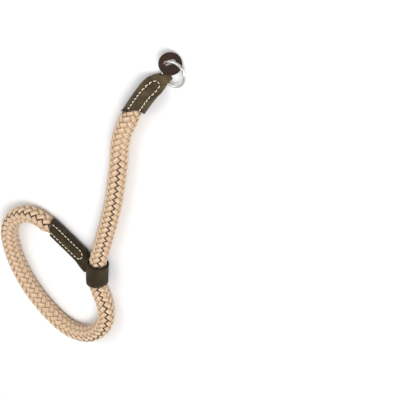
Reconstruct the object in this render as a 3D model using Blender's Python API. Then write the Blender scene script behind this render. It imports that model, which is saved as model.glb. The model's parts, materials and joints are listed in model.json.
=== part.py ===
"""Grip strap: a round braided cord with two sewn leather ends, laid down flat.

One axis runs through the whole strap. It starts at the folded tip of the ring-end leather, follows the
cord through the keeper band and round the loop, and ends where the loop-end leather joins the band.
Metres, +Z up. The origin is on the floor, under the middle of the keeper band.
"""
import math
from types import SimpleNamespace

import bmesh
import bpy
import numpy as np
from mathutils import Matrix, Vector

# Clearances
TOUCHING_GAP = 0.0003
EYE_CLEARANCE = 0.0004
SLOT_CLEARANCE = 0.00035
MERGE_DISTANCE = 0.000001

# Cord
CORD_DIAMETER = 0.0115
CORD_POINT_SPACING = 0.0062
RING_CORD_SQUEEZE = 0.76
LOOP_CORD_SQUEEZE = 0.64
CORD_SWELL_LENGTH = 0.0055
BAND_CLIMB_LENGTH = 0.014

# The strap's axis seen from above, from the leather tip to the side of the band
ROUTE = [
    (0.0537, -0.1436), (0.0546, -0.1404), (0.0556, -0.1364), (0.0561, -0.1316), (0.0558, -0.1260),
    (0.0550, -0.1180), (0.0539, -0.1098), (0.0523, -0.1016), (0.0496, -0.0930), (0.0456, -0.0848),
    (0.0400, -0.0766), (0.0330, -0.0650), (0.0246, -0.0500), (0.0170, -0.0340), (0.0106, -0.0190),
    (0.0046, -0.0068), (0.0, 0.0), (-0.0049, 0.0063), (-0.0114, 0.0116), (-0.0190, 0.0164),
    (-0.0250, 0.0230), (-0.0284, 0.0314), (-0.0289, 0.0404), (-0.0262, 0.0490), (-0.0202, 0.0560),
    (-0.0118, 0.0604), (-0.0016, 0.0620), (0.0090, 0.0620), (0.0200, 0.0606), (0.0310, 0.0574),
    (0.0416, 0.0526), (0.0510, 0.0460), (0.0584, 0.0382), (0.0620, 0.0290), (0.0613, 0.0198),
    (0.0570, 0.0122), (0.0502, 0.0073), (0.0416, 0.0051), (0.0300, 0.0038), (0.0170, 0.0026),
    (0.0055, 0.0020),
]
CURVE_STEPS = 24
HEADING_REACH = 0.0004

# Leather
LEATHER_THICKNESS = 0.0011
EDGE_THICKNESS = 0.0005
SECTION_SQUARENESS = 2.4
SIDE_SPREAD = 1.03
FLOOR_FLAT = 0.00025
LEATHER_RING_SPACING = 0.0019
LEATHER_SECTION_POINTS = 28
MOUTH_SHAPE_REACH = 0.013

# Ring-end leather
RING_END_LENGTH = 0.0344
RING_CORD_START = 0.0145
TONGUE_WIDTH = 0.0049
TONGUE_FLARE = 0.0008
SHOULDER_LENGTH = 0.0110
PINCH_PLACE = 0.0068
PINCH_HALF_HEIGHT = 0.0020
TIP_EDGE_HEIGHT = 0.00092
RING_ROLL = math.radians(-8)
RING_MOUTH_ARCH = 0.0065
RING_MOUTH_SLANT = 0.0040
RING_ROW_OFFSET = 0.00285
RING_ROW_END = 0.0115
RING_ARC_LENGTH = 0.0042

# Keeper band and loop-end leather
BAND_LENGTH = 0.0150
LOOP_SLEEVE_LENGTH = 0.0350
NECK_LENGTH = 0.0105
NECK_HALF_HEIGHT = 0.0039
NECK_HALF_WIDTH = 0.0047
LOOP_ROLL = math.radians(-33)
NECK_ROLL = math.radians(-16)
LOOP_MOUTH_ARCH = 0.0004
LOOP_MOUTH_SLANT = -0.0025
LOOP_ROW_OFFSET = 0.0025
LOOP_ROW_SHORTFALL = 0.0015
LOOP_ARC_LENGTH = 0.0042

# Sewing thread
THREAD_RADIUS = 0.00034
THREAD_SINK = 0.00016
THREAD_POINT_SPACING = 0.0013
STITCH_MOUTH_MARGIN = 0.0009

# Split ring
RING_OUTER_DIAMETER = 0.0158
RING_WIRE_WIDTH = 0.0012
RING_WIRE_HEIGHT = 0.0008
RING_TURN_GAP = 0.00008
WIRE_END_ANGLE = math.radians(13)
RING_STEP_ANGLE = math.radians(11)
RING_SECTION_POINTS = 10
RING_ANGLE_STEP = math.radians(7.5)

# Ring guard
GUARD_DIAMETER = 0.0130
GUARD_THICKNESS = 0.0013
GUARD_EDGE_ROUND = 0.0003
GUARD_SLOT_INSET = 0.0012
GUARD_SLOT_ROUNDING = 0.25
GUARD_LEAN = math.radians(34)
GUARD_TURN = math.radians(72)
GUARD_SIDES = 36

CORD_RADIUS = CORD_DIAMETER / 2
RING_MEAN_RADIUS = (RING_OUTER_DIAMETER - RING_WIRE_WIDTH) / 2
RING_HEIGHT = 2 * RING_WIRE_HEIGHT + RING_TURN_GAP
EYE_HALF_WIDTH = TONGUE_WIDTH / 2 + TONGUE_FLARE
RING_SAG = RING_MEAN_RADIUS - math.sqrt(RING_MEAN_RADIUS**2 - EYE_HALF_WIDTH**2)
EYE_RADIUS = math.hypot(RING_WIRE_WIDTH + RING_SAG, RING_HEIGHT) / 2 + EYE_CLEARANCE
TIP_HALF_HEIGHT = EYE_RADIUS + LEATHER_THICKNESS
RING_HALF_HEIGHT = CORD_RADIUS * RING_CORD_SQUEEZE + TOUCHING_GAP + LEATHER_THICKNESS
LOOP_HALF_HEIGHT = CORD_RADIUS * LOOP_CORD_SQUEEZE + TOUCHING_GAP + LEATHER_THICKNESS
BAND_RADIUS = CORD_RADIUS + TOUCHING_GAP + LEATHER_THICKNESS
GROOVE_RADIUS = THREAD_RADIUS + TOUCHING_GAP


def smooth_curve(points):
    """A centripetal Catmull-Rom curve through the points, as a fine polyline."""
    known = [np.array(p, float) for p in points]
    known = [2 * known[0] - known[1]] + known + [2 * known[-1] - known[-2]]
    line = []
    for a, b, c, d in zip(known, known[1:], known[2:], known[3:]):
        tb = math.sqrt(np.linalg.norm(b - a))
        tc = tb + math.sqrt(np.linalg.norm(c - b))
        td = tc + math.sqrt(np.linalg.norm(d - c))
        for t in np.linspace(tb, tc, CURVE_STEPS, endpoint=False):
            ab = (tb - t) / tb * a + t / tb * b
            bc = (tc - t) / (tc - tb) * b + (t - tb) / (tc - tb) * c
            cd = (td - t) / (td - tc) * c + (t - tc) / (td - tc) * d
            abc = (tc - t) / tc * ab + t / tc * bc
            bcd = (td - t) / (td - tb) * bc + (t - tb) / (td - tb) * cd
            line.append((tc - t) / (tc - tb) * abc + (t - tb) / (tc - tb) * bcd)
    line.append(known[-2])
    return np.array(line)


AXIS = smooth_curve(ROUTE)
AXIS_LENGTHS = np.concatenate([[0.0], np.cumsum(np.linalg.norm(np.diff(AXIS, axis=0), axis=1))])
AXIS_LENGTH = float(AXIS_LENGTHS[-1])
BAND_MIDDLE = float(AXIS_LENGTHS[ROUTE.index((0.0, 0.0)) * CURVE_STEPS])
BAND_START = BAND_MIDDLE - BAND_LENGTH / 2
BAND_END = BAND_MIDDLE + BAND_LENGTH / 2
LOOP_MOUTH = AXIS_LENGTH - LOOP_SLEEVE_LENGTH
LOOP_CORD_END = AXIS_LENGTH - NECK_LENGTH
LOOP_ROW_END = LOOP_CORD_END - LOOP_ROW_SHORTFALL
RING_SWELL = (RING_END_LENGTH - abs(RING_MOUTH_SLANT), RING_END_LENGTH + CORD_SWELL_LENGTH)
LOOP_SWELL = (LOOP_MOUTH - CORD_SWELL_LENGTH, LOOP_MOUTH + abs(LOOP_MOUTH_SLANT))


def blend(value, start, end):
    """0 before start, 1 after end, and a smooth step between them."""
    t = min(max((value - start) / (end - start), 0.0), 1.0)
    return t * t * (3 - 2 * t)


def cord_radius(s):
    """The cord's radius along the axis: full size outside, squeezed where it is sewn in."""
    share = RING_CORD_SQUEEZE + (1 - RING_CORD_SQUEEZE) * blend(s, *RING_SWELL)
    return CORD_RADIUS * (share - (1 - LOOP_CORD_SQUEEZE) * blend(s, *LOOP_SWELL))


def over_cord(s, half):
    """Half a sleeve's size, or what its thin edge needs where it lies on the swelling cord."""
    return max(half, cord_radius(s) + TOUCHING_GAP + EDGE_THICKNESS)


def axis_height(s):
    """The height of the axis over the floor."""
    if s <= RING_SWELL[0]:
        return ring_end_half_height(s) - FLOOR_FLAT
    if s >= LOOP_SWELL[1]:
        return loop_end_axis_height(s)
    mouth = RING_HALF_HEIGHT - FLOOR_FLAT
    height = mouth + (CORD_RADIUS - mouth) * blend(s, *RING_SWELL)
    lift = BAND_RADIUS - FLOOR_FLAT - CORD_RADIUS
    height += lift * blend(s, BAND_START - BAND_CLIMB_LENGTH, BAND_START)
    height -= lift * blend(s, BAND_END, BAND_END + BAND_CLIMB_LENGTH)
    return height - (CORD_RADIUS - loop_end_axis_height(LOOP_MOUTH)) * blend(s, *LOOP_SWELL)


def ring_end_half_height(s):
    """Half the ring end's height: a rounded fold round the ring, a pinched neck, then the full sleeve."""
    from_fold = 1 - min(s / TIP_HALF_HEIGHT, 1.0)
    height = max(TIP_HALF_HEIGHT * math.sqrt(1 - from_fold**2), TIP_EDGE_HEIGHT)
    height -= (TIP_HALF_HEIGHT - PINCH_HALF_HEIGHT) * blend(s, TIP_HALF_HEIGHT, PINCH_PLACE)
    height += (RING_HALF_HEIGHT - PINCH_HALF_HEIGHT) * blend(s, PINCH_PLACE, RING_CORD_START)
    return over_cord(s, height) if s > RING_CORD_START else height


def ring_end_half_width(s):
    """Half the ring end's width: a narrow tongue that widens to a sharp shoulder."""
    places = (0.0, TIP_HALF_HEIGHT, SHOULDER_LENGTH)
    widths = (TONGUE_WIDTH / 2, EYE_HALF_WIDTH, RING_HALF_HEIGHT * SIDE_SPREAD)
    width = float(np.interp(s, places, widths))
    return over_cord(s, width) if s > RING_CORD_START else width


def ring_end_roll(s):
    """The ring end's stitched face leans a little to one side."""
    return RING_ROLL * blend(s, TIP_HALF_HEIGHT, SHOULDER_LENGTH)


def neck_share(s):
    """0 along the sewn sleeve and 1 where its leather meets the keeper band."""
    return blend(s, LOOP_CORD_END, AXIS_LENGTH - 2 * LEATHER_THICKNESS)


def loop_end_half_height(s):
    height = LOOP_HALF_HEIGHT + (NECK_HALF_HEIGHT - LOOP_HALF_HEIGHT) * neck_share(s)
    return over_cord(s, height) if s < LOOP_CORD_END else height


def loop_end_half_width(s):
    full = LOOP_HALF_HEIGHT * SIDE_SPREAD
    width = full + (NECK_HALF_WIDTH - full) * neck_share(s)
    return over_cord(s, width) if s < LOOP_CORD_END else width


def loop_end_roll(s):
    """The loop end's stitched face is turned about its axis, and less so at the band."""
    return LOOP_ROLL + (NECK_ROLL - LOOP_ROLL) * neck_share(s)


def loop_end_axis_height(s):
    """The loop-end sleeve lies on the floor and rises to the middle of the band."""
    low = LOOP_HALF_HEIGHT - FLOOR_FLAT
    return low + (BAND_RADIUS - FLOOR_FLAT - low) * neck_share(s)


def axis_point(s):
    flat = [np.interp(s, AXIS_LENGTHS, AXIS[:, k]) for k in (0, 1)]
    return Vector((flat[0], flat[1], axis_height(s)))


def axis_heading(s):
    """The level direction along the axis, away from the ring end."""
    ahead = min(s + HEADING_REACH, AXIS_LENGTH)
    behind = max(s - HEADING_REACH, 0.0)
    x = np.interp(ahead, AXIS_LENGTHS, AXIS[:, 0]) - np.interp(behind, AXIS_LENGTHS, AXIS[:, 0])
    y = np.interp(ahead, AXIS_LENGTHS, AXIS[:, 1]) - np.interp(behind, AXIS_LENGTHS, AXIS[:, 1])
    return Vector((x, y, 0.0)).normalized()


def section_directions(s, roll):
    """The side and the outward-facing direction of a piece's section, turned by its roll."""
    heading = axis_heading(s)
    side = heading.cross(Vector((0, 0, 1)))
    turn = Matrix.Rotation(roll, 3, heading)
    return turn @ side, turn @ Vector((0, 0, 1))


def section_reach(angle, half_width, half_height):
    """How far a soft-cornered section reaches at an angle from the stitched face's middle."""
    across = abs(math.sin(angle) / half_width) ** SECTION_SQUARENESS
    upward = abs(math.cos(angle) / half_height) ** SECTION_SQUARENESS
    return (across + upward) ** (-1 / SECTION_SQUARENESS)


def skin_point(s, angle, end, sink=0.0, lowest=0.0):
    """A point of a leather end's outer skin, or a little under it, never lower than the height given."""
    side, face = section_directions(s, end.roll(s))
    reach = section_reach(angle, end.half_width(s), end.half_height(s)) - sink
    point = axis_point(s) + (side * math.sin(angle) + face * math.cos(angle)) * reach
    point.z = max(point.z, lowest)
    return point


# outward is 1 where the sleeve's mouth looks along the axis, and -1 where it looks back
RING_END = SimpleNamespace(
    half_width=ring_end_half_width, half_height=ring_end_half_height, roll=ring_end_roll,
    mouth=RING_END_LENGTH, outward=1, arch=RING_MOUTH_ARCH, slant=RING_MOUTH_SLANT,
    row_offset=RING_ROW_OFFSET, row_end=RING_ROW_END, arc_length=RING_ARC_LENGTH,
)
LOOP_END = SimpleNamespace(
    half_width=loop_end_half_width, half_height=loop_end_half_height, roll=loop_end_roll,
    mouth=LOOP_MOUTH, outward=-1, arch=LOOP_MOUTH_ARCH, slant=LOOP_MOUTH_SLANT,
    row_offset=LOOP_ROW_OFFSET, row_end=LOOP_ROW_END, arc_length=LOOP_ARC_LENGTH,
)


def clear_scene():
    for item in list(bpy.data.objects):
        bpy.data.objects.remove(item, do_unlink=True)


def material(name, colour, roughness, metallic=0.0):
    new = bpy.data.materials.new(name)
    new.use_nodes = True
    shader = new.node_tree.nodes["Principled BSDF"]
    shader.inputs["Base Color"].default_value = (*colour, 1.0)
    shader.inputs["Roughness"].default_value = roughness
    shader.inputs["Metallic"].default_value = metallic
    return new


def add_object(name, mesh, finish=None):
    made = bpy.data.objects.new(name, mesh)
    bpy.context.scene.collection.objects.link(made)
    if finish is not None:
        mesh.materials.append(finish)
    return made


def loft(name, rings):
    """A closed mesh through rings of points, with a flat face at each end."""
    shape = bmesh.new()
    rows = [[shape.verts.new(p) for p in ring] for ring in rings]
    count = len(rows[0])
    for row, following in zip(rows, rows[1:]):
        for k in range(count):
            n = (k + 1) % count
            shape.faces.new((row[k], row[n], following[n], following[k]))
    shape.faces.new(rows[0])
    shape.faces.new(list(reversed(rows[-1])))
    bmesh.ops.recalc_face_normals(shape, faces=shape.faces)
    mesh = bpy.data.meshes.new(name)
    shape.to_mesh(mesh)
    shape.free()
    return mesh


def round_ring(s, radius, floor=None):
    """A round ring of points across the axis, pressed flat at the floor where one is given."""
    side, face = section_directions(s, 0.0)
    centre = axis_point(s)
    points = []
    for k in range(LEATHER_SECTION_POINTS):
        angle = 2 * math.pi * (k + 0.5) / LEATHER_SECTION_POINTS
        point = centre + (side * math.sin(angle) + face * math.cos(angle)) * radius
        if floor is not None:
            point.z = max(point.z, floor)
        points.append(point)
    return points


def stations(start, end, spacing):
    count = max(2, math.ceil(abs(end - start) / spacing))
    return [start + (end - start) * k / count for k in range(count + 1)]


def cut(target, cutter_mesh, name, operation="DIFFERENCE"):
    """Cuts the target with a closed mesh, or joins it on."""
    cutter = add_object(name, cutter_mesh)
    cutter.hide_render = True
    cutter.display_type = "WIRE"
    tool = target.modifiers.new(name, "BOOLEAN")
    tool.operation = operation
    tool.solver = "EXACT"
    tool.object = cutter


def edge_place(end, angle):
    """Where the sleeve's edge is: arched back over the cord on the stitched face, and cut at a slant."""
    return end.mouth - end.outward * (end.arch * max(math.cos(angle), 0.0) - end.slant * math.sin(angle))


def leather_ring(end, s, inside):
    """A ring of the outer skin, or of the cord's pocket inside it, leaning into the mouth's shape."""
    near = 1 - min(abs(s - end.mouth) / MOUTH_SHAPE_REACH, 1.0)
    ring = []
    for k in range(LEATHER_SECTION_POINTS):
        angle = 2 * math.pi * (k + 0.5) / LEATHER_SECTION_POINTS
        place = s + (edge_place(end, angle) - end.mouth) * near
        ring.append(pocket_point(place, angle, end) if inside else skin_point(place, angle, end))
    return ring


def pocket_point(s, angle, end):
    side, face = section_directions(s, end.roll(s))
    reach = cord_radius(s) + TOUCHING_GAP
    return axis_point(s) + (side * math.sin(angle) + face * math.cos(angle)) * reach


def leather_end(name, end, places, pocket_end):
    """A closed leather end: its skin up to the mouth, then the pocket of the sewn-in cord back inside."""
    rings = [leather_ring(end, s, False) for s in places]
    rings += [leather_ring(end, s, True) for s in stations(end.mouth, pocket_end, LEATHER_RING_SPACING)]
    return loft(name, rings)


def row_angle(end, s, offset):
    """The angle round the section at which a stitch lies the given distance off the face's middle line."""
    share = (abs(offset) / end.half_width(s)) ** SECTION_SQUARENESS
    return math.atan2(offset, end.half_height(s) * (1 - share) ** (1 / SECTION_SQUARENESS))


def thread_path(end, facing):
    """The U that a thread sews: down one row, round the closed end and back up the other row."""
    route = []
    for way in (-1, 1):
        offset = way * end.row_offset
        edge = edge_place(end, row_angle(end, end.mouth, offset) + facing)
        rows = stations(edge - end.outward * STITCH_MOUTH_MARGIN, end.row_end, THREAD_POINT_SPACING)
        row = [(s, offset) for s in rows]
        route += row if way == -1 else list(reversed(row))
        if way == -1:
            around = max(8, math.ceil(math.pi * end.arc_length / THREAD_POINT_SPACING))
            for k in range(1, around):
                turn = math.pi * k / around
                beyond = end.row_end - end.outward * end.arc_length * math.sin(turn)
                route.append((beyond, -end.row_offset * math.cos(turn)))
    places = [(s, row_angle(end, s, offset) + facing) for s, offset in route]
    return [skin_point(s, angle, end, THREAD_SINK, THREAD_RADIUS) for s, angle in places]


def tube(name, points, radius, resolution, radii=None):
    """A curve tube with filled ends through the points."""
    curve = bpy.data.curves.new(name, "CURVE")
    curve.dimensions = "3D"
    curve.bevel_depth = radius
    curve.bevel_resolution = resolution
    curve.use_fill_caps = True
    spline = curve.splines.new("POLY")
    spline.points.add(len(points) - 1)
    for k, point in enumerate(points):
        spline.points[k].co = (*point, 1.0)
        spline.points[k].radius = 1.0 if radii is None else radii[k]
    return add_object(name, curve)


def tube_mesh(points, radius, resolution):
    """The same tube as a plain mesh, for a groove."""
    helper = tube("groove_guide", points, radius, resolution)
    bpy.context.view_layer.update()
    seen = helper.evaluated_get(bpy.context.evaluated_depsgraph_get())
    mesh = bpy.data.meshes.new_from_object(seen)
    curve = helper.data
    bpy.data.objects.remove(helper, do_unlink=True)
    bpy.data.curves.remove(curve)
    closed = bmesh.new()
    closed.from_mesh(mesh)
    bmesh.ops.remove_doubles(closed, verts=closed.verts, dist=MERGE_DISTANCE)
    closed.to_mesh(mesh)
    closed.free()
    return mesh


def sew(leather, name, finish, points):
    """Lays a thread in a groove of the leather."""
    thread = tube(name, points, THREAD_RADIUS, 2)
    thread.data.materials.append(finish)
    ahead = (points[0] - points[1]).normalized() * (2 * GROOVE_RADIUS)
    behind = (points[-1] - points[-2]).normalized() * (2 * GROOVE_RADIUS)
    groove = [points[0] + ahead] + points + [points[-1] + behind]
    cut(leather, tube_mesh(groove, GROOVE_RADIUS, 2), name + "_groove")


def make_cord(finish):
    """The braided cord, as a plain tube that thins where it is sewn into the leather."""
    bounds = [RING_CORD_START, *RING_SWELL, BAND_START, BAND_END, *LOOP_SWELL, LOOP_CORD_END]
    places = []
    for a, b in zip(bounds, bounds[1:]):
        swelling = (a, b) in (RING_SWELL, LOOP_SWELL)
        places += stations(a, b, CORD_POINT_SPACING / 2 if swelling else CORD_POINT_SPACING)[:-1]
    places.append(bounds[-1])
    points = [axis_point(s) for s in places]
    radii = [cord_radius(s) / CORD_RADIUS for s in places]
    cord = tube("braided_cord", points, CORD_RADIUS, 4, radii)
    cord.data.materials.append(finish)
    return cord


def sew_both_sides(leather, end, names, finish):
    """The needle thread on the stitched face and the bobbin thread on the back."""
    for name, facing in zip(names, (0.0, math.pi)):
        sew(leather, name, finish, thread_path(end, facing))


def make_ring_end(finish, thread_finish):
    """The folded leather that holds the split ring and is sewn over the cord's end."""
    places = stations(0.0, SHOULDER_LENGTH, LEATHER_RING_SPACING / 2)[:-1]
    places += stations(SHOULDER_LENGTH, RING_END_LENGTH, LEATHER_RING_SPACING)
    folded = leather_end("ring_end_leather", RING_END, places, RING_CORD_START - TOUCHING_GAP)
    leather = add_object("ring_end_leather", folded, finish)
    eye = bmesh.new()
    bmesh.ops.create_cone(
        eye, cap_ends=True, segments=24, radius1=EYE_RADIUS, radius2=EYE_RADIUS, depth=4 * TONGUE_WIDTH,
    )
    side, _ = section_directions(TIP_HALF_HEIGHT, 0.0)
    turn = Vector((0, 0, 1)).rotation_difference(side).to_matrix().to_4x4()
    bmesh.ops.transform(eye, matrix=Matrix.Translation(eye_centre()) @ turn, verts=eye.verts)
    mesh = bpy.data.meshes.new("ring_eye")
    eye.to_mesh(mesh)
    eye.free()
    cut(leather, mesh, "ring_eye")
    sew_both_sides(leather, RING_END, ("ring_end_needle_thread", "ring_end_bobbin_thread"), thread_finish)


def make_loop_end(finish, thread_finish):
    """The keeper band round the standing cord, with its two ends sewn over the loop's end as one sleeve."""
    band_places = stations(BAND_START, BAND_END, LEATHER_RING_SPACING)
    band = [round_ring(s, BAND_RADIUS, 0.0) for s in band_places]
    leather = add_object("loop_end_leather", loft("keeper_band", band), finish)
    places = stations(AXIS_LENGTH, LOOP_MOUTH, LEATHER_RING_SPACING)
    sleeve = leather_end("loop_sleeve", LOOP_END, places, LOOP_CORD_END + TOUCHING_GAP)
    cut(leather, sleeve, "loop_sleeve", "UNION")
    bore_places = stations(BAND_START - BAND_LENGTH / 2, BAND_END + BAND_LENGTH / 2, LEATHER_RING_SPACING)
    bore = [round_ring(s, CORD_RADIUS + TOUCHING_GAP) for s in bore_places]
    cut(leather, loft("band_bore", bore), "band_bore")
    sew_both_sides(leather, LOOP_END, ("loop_end_needle_thread", "loop_end_bobbin_thread"), thread_finish)


def eye_centre():
    return axis_point(TIP_HALF_HEIGHT)


def ring_centre_distance():
    """From the eye's middle to the ring's, so that the curved wire is centred in the eye."""
    return RING_MEAN_RADIUS - RING_SAG / 2


def guard_matrix(rise):
    """The guard's disc in the world, for a ring that rises from its eye by an angle."""
    outward = -axis_heading(TIP_HALF_HEIGHT)
    heading = math.atan2(outward.y, outward.x)
    turned = Matrix.Rotation(heading, 4, "Z") @ Matrix.Rotation(-rise, 4, "Y")
    hinge = Matrix.Translation(eye_centre()) @ turned
    ring = Matrix.Translation((ring_centre_distance(), 0, 0))
    turn = Matrix.Rotation(GUARD_TURN, 4, "Z") @ Matrix.Translation((RING_MEAN_RADIUS, 0, 0))
    lean = Matrix.Rotation(GUARD_LEAN, 4, "X") @ Matrix.Translation((-GUARD_SLOT_INSET, 0, 0))
    return hinge @ ring @ turn @ lean


def guard_lowest(rise):
    place = guard_matrix(rise)
    low = []
    for k in range(GUARD_SIDES):
        angle = 2 * math.pi * k / GUARD_SIDES
        for z in (-GUARD_THICKNESS / 2, GUARD_THICKNESS / 2):
            rim = Vector((math.cos(angle) * GUARD_DIAMETER / 2, math.sin(angle) * GUARD_DIAMETER / 2, z))
            low.append((place @ rim).z)
    return min(low)


def ring_rise():
    """The angle at which the ring leans on its guard, whose rim stands on the floor."""
    low, high = math.radians(-20), math.radians(60)
    for _ in range(40):
        middle = (low + high) / 2
        if guard_lowest(middle) < 0:
            low = middle
        else:
            high = middle
    return high


def ring_wire_rings():
    """Two flat turns of one wire, which steps from the lower to the upper one beside its two ends."""
    half_pitch = (RING_WIRE_HEIGHT + RING_TURN_GAP) / 2
    start, end = WIRE_END_ANGLE, 4 * math.pi - WIRE_END_ANGLE
    rings = []
    for angle in stations(start, end, RING_ANGLE_STEP):
        step = blend(angle, 2 * math.pi - RING_STEP_ANGLE, 2 * math.pi + RING_STEP_ANGLE)
        height = half_pitch * (2 * step - 1)
        outward = Vector((math.cos(angle), math.sin(angle), 0))
        ring = []
        for k in range(RING_SECTION_POINTS):
            turn = 2 * math.pi * (k + 0.5) / RING_SECTION_POINTS
            reach = section_reach(turn, RING_WIRE_WIDTH / 2, RING_WIRE_HEIGHT / 2)
            across = RING_MEAN_RADIUS + reach * math.sin(turn)
            ring.append(outward * across + Vector((0, 0, height + reach * math.cos(turn))))
        rings.append(ring)
    return rings


def guard_slot_mesh():
    """The slot through the guard, as long and wide as the leaning guard needs for the ring's two turns."""
    half_height = RING_HEIGHT / 2 + SLOT_CLEARANCE
    half_length = (half_height + GUARD_THICKNESS / 2 * math.cos(GUARD_LEAN)) / math.sin(GUARD_LEAN)
    along_wire = half_length * math.cos(GUARD_LEAN) + GUARD_THICKNESS * math.sin(GUARD_LEAN)
    sag = RING_MEAN_RADIUS - math.sqrt(RING_MEAN_RADIUS**2 - along_wire**2)
    outer = RING_WIRE_WIDTH / 2 + SLOT_CLEARANCE
    left, right = -outer - sag, outer
    rounding = (right - left) * GUARD_SLOT_ROUNDING
    half_length += rounding / 2
    shape = bmesh.new()
    bmesh.ops.create_cube(shape, size=1.0)
    scale = Matrix.Diagonal((right - left, 2 * half_length, 4 * GUARD_THICKNESS, 1))
    place = Matrix.Translation(((left + right) / 2, 0, 0))
    bmesh.ops.transform(shape, matrix=place @ scale, verts=shape.verts)
    upright = [e for e in shape.edges if abs(e.verts[0].co.z - e.verts[1].co.z) > GUARD_THICKNESS]
    bmesh.ops.bevel(shape, geom=upright, offset=rounding, segments=3, affect="EDGES")
    mesh = bpy.data.meshes.new("guard_slot")
    shape.to_mesh(mesh)
    shape.free()
    return mesh


def make_ring_and_guard(ring_finish, guard_finish):
    """The split ring on its hinge in the leather eye, and the guard that slides round the ring."""
    outward = -axis_heading(TIP_HALF_HEIGHT)
    hinge = bpy.data.objects.new("ring_hinge", None)
    hinge.location = eye_centre()
    hinge.rotation_euler = (0, -ring_rise(), math.atan2(outward.y, outward.x))
    bpy.context.scene.collection.objects.link(hinge)

    ring = add_object("split_ring", loft("split_ring", ring_wire_rings()), ring_finish)
    ring.parent = hinge
    ring.location = (ring_centre_distance(), 0, 0)

    track = bpy.data.objects.new("guard_track", None)
    bpy.context.scene.collection.objects.link(track)
    track.parent = hinge
    track.location = (ring_centre_distance(), 0, 0)
    track.rotation_euler = (0, 0, GUARD_TURN)

    disc = bmesh.new()
    bmesh.ops.create_cone(
        disc, cap_ends=True, segments=GUARD_SIDES, radius1=GUARD_DIAMETER / 2, radius2=GUARD_DIAMETER / 2,
        depth=GUARD_THICKNESS,
    )
    rims = [e for e in disc.edges if abs(e.verts[0].co.z - e.verts[1].co.z) < GUARD_EDGE_ROUND]
    bmesh.ops.bevel(disc, geom=rims, offset=GUARD_EDGE_ROUND, segments=2, profile=0.5, affect="EDGES")
    mesh = bpy.data.meshes.new("ring_guard")
    bmesh.ops.translate(disc, vec=(-GUARD_SLOT_INSET, 0, 0), verts=disc.verts)
    disc.to_mesh(mesh)
    disc.free()
    guard = add_object("ring_guard", mesh, guard_finish)
    guard.parent = track
    guard.location = (RING_MEAN_RADIUS, 0, 0)
    guard.rotation_euler = (GUARD_LEAN, 0, 0)
    cut(guard, guard_slot_mesh(), "guard_slot")
    bpy.data.objects["guard_slot"].parent = guard


def smooth(name):
    mesh = bpy.data.objects[name].data
    mesh.shade_smooth()
    mesh.set_sharp_from_angle(angle=math.radians(40))


def main():
    clear_scene()
    cotton = material("cotton", (0.74, 0.55, 0.36), 0.85)
    leather = material("olive_leather", (0.085, 0.066, 0.040), 0.5)
    thread = material("ivory_thread", (0.80, 0.74, 0.60), 0.7)
    nickel = material("nickel", (0.78, 0.77, 0.74), 0.22, 1.0)
    dark_leather = material("dark_leather", (0.030, 0.016, 0.010), 0.5)
    make_cord(cotton)
    make_ring_end(leather, thread)
    make_loop_end(leather, thread)
    make_ring_and_guard(nickel, dark_leather)
    for name in ("ring_end_leather", "loop_end_leather", "split_ring", "ring_guard"):
        smooth(name)


main()
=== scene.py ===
"""The looks of a grip strap: a braided cotton cord, two sewn leather ends, a split ring and its guard.

The strap lies on a pale floor as it comes to rest. Metres, +Z up, origin under the keeper band.
"""
import json
import math
from types import SimpleNamespace

import bmesh
import bpy
import numpy as np
from mathutils import Matrix, Vector
from mathutils.kdtree import KDTree


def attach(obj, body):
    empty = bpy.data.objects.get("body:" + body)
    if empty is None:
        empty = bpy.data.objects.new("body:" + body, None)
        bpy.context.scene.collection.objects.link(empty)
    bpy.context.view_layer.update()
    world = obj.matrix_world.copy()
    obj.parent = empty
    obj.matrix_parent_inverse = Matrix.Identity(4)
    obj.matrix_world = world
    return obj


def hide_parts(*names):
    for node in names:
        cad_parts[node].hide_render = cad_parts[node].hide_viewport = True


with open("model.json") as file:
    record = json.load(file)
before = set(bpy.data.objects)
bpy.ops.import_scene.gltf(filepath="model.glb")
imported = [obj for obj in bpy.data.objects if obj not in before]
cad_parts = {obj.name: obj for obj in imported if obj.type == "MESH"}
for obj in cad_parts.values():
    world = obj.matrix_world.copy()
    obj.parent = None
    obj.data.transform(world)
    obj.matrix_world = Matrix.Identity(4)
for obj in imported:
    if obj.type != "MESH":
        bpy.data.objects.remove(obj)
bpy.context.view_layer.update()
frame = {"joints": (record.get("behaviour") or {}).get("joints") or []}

# The view
# It looks down at the strap from beyond its ring end, and is turned on its side, so that the ring end
# comes out at the upper right and the big loop at the left.
VIEW_PLACE = Vector((0.0032, -0.4830, 0.4459))
VIEW_AIM = Vector((-0.00835, -0.09864, 0.0))
VIEW_ROLL = math.radians(-133.3)
SENSOR_WIDTH = 36.0
FOCAL_LENGTH = 91.8

view_data = bpy.data.cameras.new("view")
view_data.sensor_width = SENSOR_WIDTH
view_data.lens = FOCAL_LENGTH
view_data.clip_end = 5.0
view = bpy.data.objects.new("view", view_data)
view_turn = (VIEW_AIM - VIEW_PLACE).to_track_quat("-Z", "Y").to_matrix() @ Matrix.Rotation(VIEW_ROLL, 3, "Z")
view.matrix_world = Matrix.Translation(VIEW_PLACE) @ view_turn.to_4x4()
bpy.context.scene.collection.objects.link(view)
bpy.context.scene.camera = view

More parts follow.
